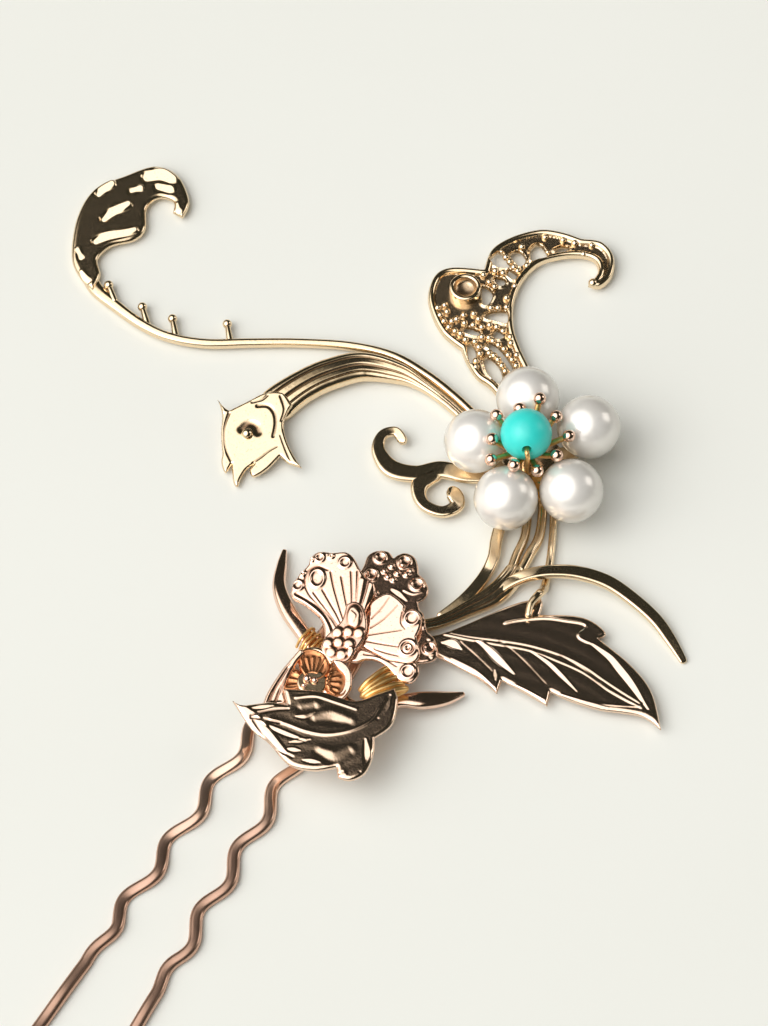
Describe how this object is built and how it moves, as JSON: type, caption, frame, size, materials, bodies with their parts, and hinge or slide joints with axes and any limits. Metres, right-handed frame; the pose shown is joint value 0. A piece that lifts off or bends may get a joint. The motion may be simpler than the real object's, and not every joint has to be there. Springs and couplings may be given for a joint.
{
  "type": "hairpin",
  "caption": "Pronged hair fork with a cast gilt spray of butterfly, blossom, leaves, grass and curls round a pearl flower with a turquoise bead, worn pushed into a bun.",
  "frame": {"origin": "top of the fork's crown, on the underside of the flat wire, where the pin rests", "axes": "+Y along the fork's middle line from the prongs to the spray, +Z out of the front of the spray, +X to the right seen from the front"},
  "size_m": [0.1017, 0.1462, 0.0139],
  "materials": {
    "rose_gilt": "polished rose-gold plate on a cast alloy",
    "binding_wire": "bright gilt copper wire",
    "pearl": "pearl lustre",
    "turquoise": "polished"
  },
  "bodies": {
    "root": {"hair_fork": "rose_gilt", "crescent": "rose_gilt", "butterfly": "rose_gilt", "plum_blossom": "rose_gilt", "small_leaf": "rose_gilt", "large_leaf": "rose_gilt", "grass_spray": "rose_gilt", "twig": "rose_gilt", "filigree_wing": "rose_gilt", "tendril": "rose_gilt", "trumpet_flower": "rose_gilt", "cloud_scroll": "rose_gilt", "flower_back": "rose_gilt", "pearl_1": "pearl", "pearl_2": "pearl", "pearl_3": "pearl", "pearl_4": "pearl", "pearl_5": "pearl", "stamen_cap": "rose_gilt", "turquoise_bead": "turquoise", "bead_pin": "binding_wire", "left_binding": "binding_wire", "right_binding": "binding_wire"}
  },
  "joints": []
}
